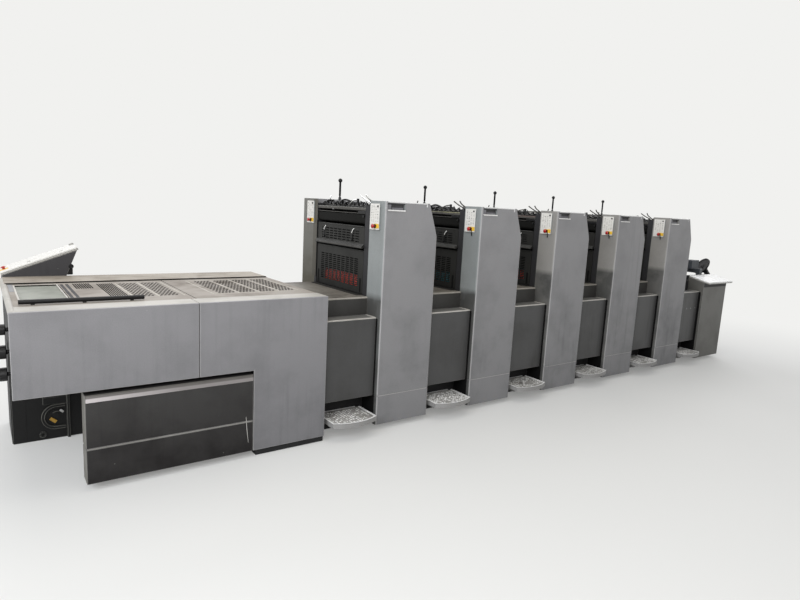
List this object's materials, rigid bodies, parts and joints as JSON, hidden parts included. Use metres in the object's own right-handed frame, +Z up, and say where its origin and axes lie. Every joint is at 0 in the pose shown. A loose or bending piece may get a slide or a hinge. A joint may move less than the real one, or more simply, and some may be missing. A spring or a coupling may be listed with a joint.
{
  "type": "sheet-fed offset printing press",
  "caption": "Long sheet-fed offset press: grey towers with slotted guards between foot platforms, a low delivery with a deck and desk at one end and a feeder at the other.",
  "frame": {"origin": "centre of the bounding box in plan, on the floor", "axes": "+X along the machine from the delivery to the feeder, -Y towards the operator side with the steps and keypads, +Z up"},
  "size_m": [6.385, 1.47, 1.588],
  "materials": {
    "cover_paint": "satin grey enamel, scuffed",
    "dark_paint": "satin dark grey enamel",
    "frame_paint": "dull near-black enamel",
    "hood_black": "dull black enamel",
    "machined_steel": "machined steel, oily",
    "roller_rubber": "ink-stained rubber",
    "blanket_red": "red printing blanket",
    "blanket_teal": "blue-green printing blanket",
    "blanket_dark": "dark printing blanket",
    "platform_sheet": "worn aluminium sheet",
    "step_tread": "cast aluminium with a chequered tread",
    "keypad_face": "white membrane keypad",
    "stop_red": "red mushroom cap",
    "deck_paint": "pale enamel, worn",
    "sight_pane": "clear pane",
    "slab_white": "white laminate",
    "black_plastic": "black plastic",
    "pile_steel": "bare steel sheet"
  },
  "bodies": {
    "press": {"press_beds": "frame_paint", "side_frames": "frame_paint", "tower_covers": "cover_paint", "drive_covers": "cover_paint", "rear_covers": "dark_paint", "roller_hoods": "hood_black", "ink_fountains": "machined_steel", "inking_rollers": "roller_rubber", "platforms": "platform_sheet", "gap_panels": "dark_paint", "foot_steps": "step_tread", "keypads": "keypad_face", "stop_buttons": "stop_red", "delivery_frame": "frame_paint", "delivery_panels": "cover_paint", "kick_panels": "dark_paint", "pile_side_plate": "frame_paint", "deck_covers": "deck_paint", "sight_glass": "sight_pane", "deck_rails": "deck_paint", "edge_bar": "black_plastic", "desk_bodies": "dark_paint", "desk_slabs": "slab_white", "end_knobs": "black_plastic", "feeder_frame": "frame_paint", "feeder_cabinet": "dark_paint", "feeder_head": "frame_paint", "feed_board": "pile_steel", "pile_table": "pile_steel"},
    "blanket_cylinder_1": {"blanket_cylinder_1": "blanket_red"},
    "blanket_cylinder_2": {"blanket_cylinder_2": "blanket_teal"},
    "blanket_cylinder_3": {"blanket_cylinder_3": "blanket_red"},
    "blanket_cylinder_4": {"blanket_cylinder_4": "blanket_dark"},
    "blanket_cylinder_5": {"blanket_cylinder_5": "blanket_dark"},
    "upper_guard_1": {"upper_guard_1": "dark_paint"},
    "upper_guard_2": {"upper_guard_2": "dark_paint"},
    "upper_guard_3": {"upper_guard_3": "dark_paint"},
    "upper_guard_4": {"upper_guard_4": "dark_paint"},
    "upper_guard_5": {"upper_guard_5": "dark_paint"},
    "lower_guard_1": {"lower_guard_1": "dark_paint"},
    "lower_guard_2": {"lower_guard_2": "dark_paint"},
    "lower_guard_3": {"lower_guard_3": "dark_paint"},
    "lower_guard_4": {"lower_guard_4": "dark_paint"},
    "lower_guard_5": {"lower_guard_5": "dark_paint"},
    "lever_1": {"lever_1": "black_plastic"},
    "lever_2": {"lever_2": "black_plastic"},
    "lever_3": {"lever_3": "black_plastic"},
    "lever_4": {"lever_4": "black_plastic"},
    "lever_5": {"lever_5": "black_plastic"},
    "feeder_handwheel": {"feeder_handwheel": "black_plastic"}
  },
  "joints": [
    {"name": "cylinder_turn_1", "type": "hinge", "parent": "press", "child": "blanket_cylinder_1", "pos_m": [-1.1365, -0.105, 0.897], "axis": [0, 1, 0], "continuous": true},
    {"name": "cylinder_turn_2", "type": "hinge", "parent": "press", "child": "blanket_cylinder_2", "pos_m": [-0.3495, -0.105, 0.897], "axis": [0, 1, 0], "continuous": true},
    {"name": "cylinder_turn_3", "type": "hinge", "parent": "press", "child": "blanket_cylinder_3", "pos_m": [0.4375, -0.105, 0.897], "axis": [0, 1, 0], "continuous": true},
    {"name": "cylinder_turn_4", "type": "hinge", "parent": "press", "child": "blanket_cylinder_4", "pos_m": [1.2245, -0.105, 0.897], "axis": [0, 1, 0], "continuous": true},
    {"name": "cylinder_turn_5", "type": "hinge", "parent": "press", "child": "blanket_cylinder_5", "pos_m": [2.0115, -0.105, 0.897], "axis": [0, 1, 0], "continuous": true},
    {"name": "upper_guard_swing_1", "type": "hinge", "parent": "press", "child": "upper_guard_1", "pos_m": [-1.2525, -0.105, 1.267], "axis": [0, 1, 0], "range_deg": [0, 75]},
    {"name": "lower_guard_swing_1", "type": "hinge", "parent": "press", "child": "lower_guard_1", "pos_m": [-1.2525, -0.105, 1.114], "axis": [0, 1, 0], "range_deg": [0, 85]},
    {"name": "upper_guard_swing_2", "type": "hinge", "parent": "press", "child": "upper_guard_2", "pos_m": [-0.4655, -0.105, 1.267], "axis": [0, 1, 0], "range_deg": [0, 75]},
    {"name": "lower_guard_swing_2", "type": "hinge", "parent": "press", "child": "lower_guard_2", "pos_m": [-0.4655, -0.105, 1.114], "axis": [0, 1, 0], "range_deg": [0, 85]},
    {"name": "upper_guard_swing_3", "type": "hinge", "parent": "press", "child": "upper_guard_3", "pos_m": [0.3215, -0.105, 1.267], "axis": [0, 1, 0], "range_deg": [0, 75]},
    {"name": "lower_guard_swing_3", "type": "hinge", "parent": "press", "child": "lower_guard_3", "pos_m": [0.3215, -0.105, 1.114], "axis": [0, 1, 0], "range_deg": [0, 85]},
    {"name": "upper_guard_swing_4", "type": "hinge", "parent": "press", "child": "upper_guard_4", "pos_m": [1.1085, -0.105, 1.267], "axis": [0, 1, 0], "range_deg": [0, 75]},
    {"name": "lower_guard_swing_4", "type": "hinge", "parent": "press", "child": "lower_guard_4", "pos_m": [1.1085, -0.105, 1.114], "axis": [0, 1, 0], "range_deg": [0, 85]},
    {"name": "upper_guard_swing_5", "type": "hinge", "parent": "press", "child": "upper_guard_5", "pos_m": [1.8955, -0.105, 1.267], "axis": [0, 1, 0], "range_deg": [0, 75]},
    {"name": "lower_guard_swing_5", "type": "hinge", "parent": "press", "child": "lower_guard_5", "pos_m": [1.8955, -0.105, 1.114], "axis": [0, 1, 0], "range_deg": [0, 85]},
    {"name": "lever_throw_1", "type": "hinge", "parent": "press", "child": "lever_1", "pos_m": [-1.0755, 0.2255, 1.423], "axis": [0, 1, 0], "range_deg": [0, 35]},
    {"name": "lever_throw_2", "type": "hinge", "parent": "press", "child": "lever_2", "pos_m": [-0.2885, 0.2255, 1.423], "axis": [0, 1, 0], "range_deg": [0, 35]},
    {"name": "lever_throw_3", "type": "hinge", "parent": "press", "child": "lever_3", "pos_m": [0.4985, 0.2255, 1.423], "axis": [0, 1, 0], "range_deg": [0, 35]},
    {"name": "lever_throw_4", "type": "hinge", "parent": "press", "child": "lever_4", "pos_m": [1.2855, 0.2255, 1.423], "axis": [0, 1, 0], "range_deg": [0, 35]},
    {"name": "lever_throw_5", "type": "hinge", "parent": "press", "child": "lever_5", "pos_m": [2.0725, 0.2255, 1.423], "axis": [0, 1, 0], "range_deg": [0, 35]},
    {"name": "handwheel_turn", "type": "hinge", "parent": "press", "child": "feeder_handwheel", "pos_m": [3.1215, -0.36, 0.943], "axis": [-0.75, 0.433, 0.5], "continuous": true}
  ],
  "couplings": [
    {"joint": "cylinder_turn_2", "follows": "cylinder_turn_1", "ratio": 1},
    {"joint": "cylinder_turn_3", "follows": "cylinder_turn_1", "ratio": 1},
    {"joint": "cylinder_turn_4", "follows": "cylinder_turn_1", "ratio": 1},
    {"joint": "cylinder_turn_5", "follows": "cylinder_turn_1", "ratio": 1}
  ]
}
